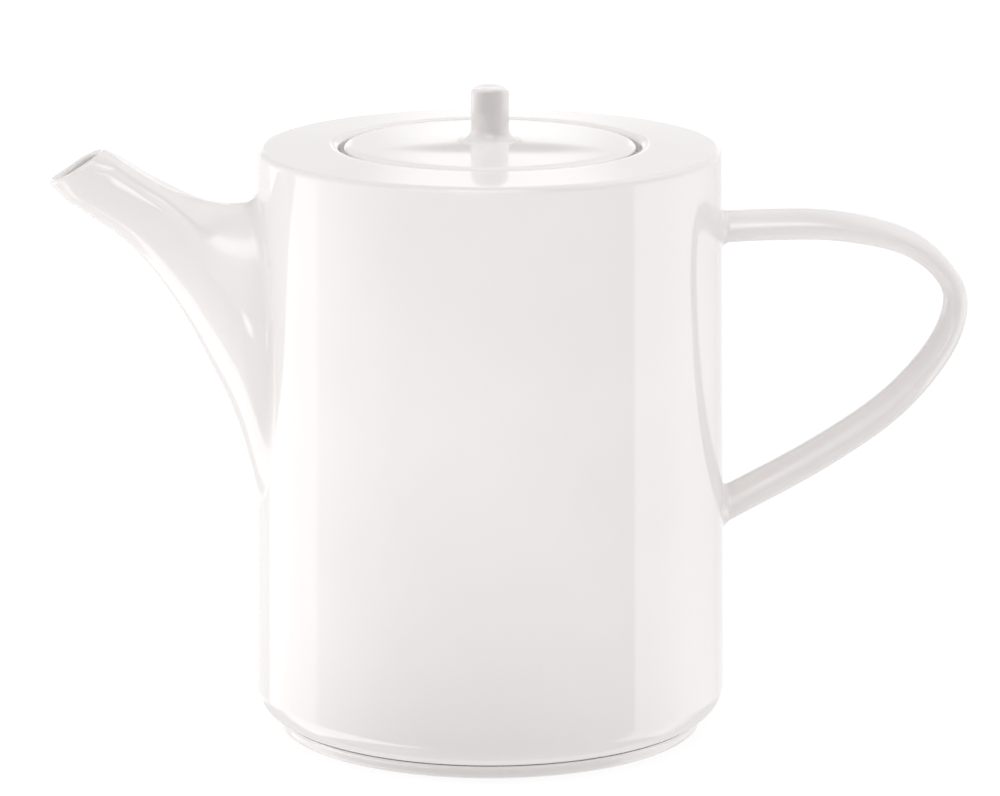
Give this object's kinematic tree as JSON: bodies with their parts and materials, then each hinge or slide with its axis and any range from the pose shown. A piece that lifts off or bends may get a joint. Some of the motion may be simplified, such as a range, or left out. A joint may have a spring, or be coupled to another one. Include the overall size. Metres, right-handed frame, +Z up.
{
  "type": "coffee pot",
  "caption": "Tall cylindrical porcelain coffee pot with a flat shoulder, recessed round lid with a slim pin knob, funnel spout and open D-shaped handle.",
  "frame": {"origin": "on the pot's vertical axis, on the surface that the foot ring stands on", "axes": "+Z up along the pot's axis; +X towards the handle, so the spout is along -X; +Y to the back"},
  "size_m": [0.2321, 0.1198, 0.1644],
  "materials": {
    "glaze": "white, glossy transparent glaze over porcelain",
    "bare_clay": "unglazed, smooth matt porcelain"
  },
  "bodies": {
    "pot": {"body": "glaze", "foot_ring": "bare_clay", "spout": "glaze", "handle": "glaze"},
    "lid_carrier": {"lid_collar": "glaze"},
    "lid": {"lid_disc": "glaze", "lid_knob": "glaze"}
  },
  "joints": [
    {"name": "lid_lift", "type": "slide", "parent": "pot", "child": "lid_carrier", "axis": [0, 0, 1], "range_m": [0, 0.06]},
    {"name": "lid_turn", "type": "hinge", "parent": "lid_carrier", "child": "lid", "pos_m": [0, 0, 0.15], "axis": [0, 0, 1], "continuous": true}
  ]
}
